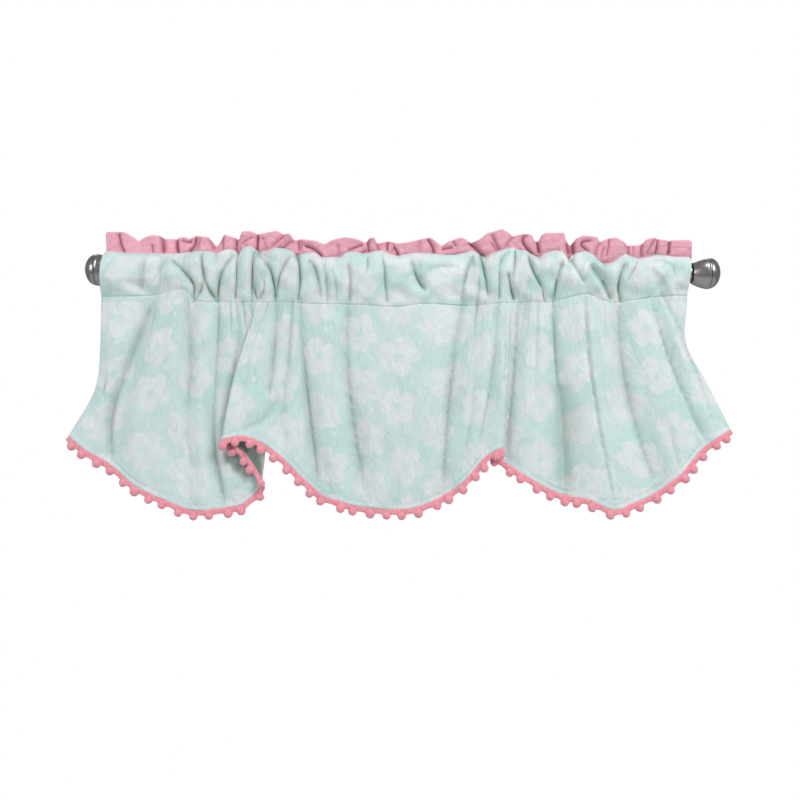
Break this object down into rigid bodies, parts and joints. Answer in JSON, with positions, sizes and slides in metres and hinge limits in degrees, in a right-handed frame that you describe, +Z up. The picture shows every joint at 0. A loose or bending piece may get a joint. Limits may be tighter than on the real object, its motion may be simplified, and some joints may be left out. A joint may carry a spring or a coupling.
{
  "type": "window valance on a curtain rod",
  "caption": "Plush window valance with scalloped hem, pompom trim and a ruffle above its rod pocket, gathered on a plain round rod with ball finials.",
  "frame": {"origin": "middle of the rod's axis", "axes": "+X along the rod, to the right as seen from the room; -Y from the cloth's face into the room; +Z up"},
  "size_m": [0.8927, 0.0581, 0.3897],
  "materials": {
    "mint_plush": "short soft pile, tone-on-tone print",
    "pink_velour": "short soft pile",
    "coral_trim": "matt yarn",
    "grey_metal": "satin"
  },
  "bodies": {
    "root": {"valance_panel": "mint_plush", "header_ruffle": "pink_velour", "pompom_trim": "coral_trim", "rod": "grey_metal", "finial_left": "grey_metal", "finial_right": "grey_metal"}
  },
  "joints": []
}
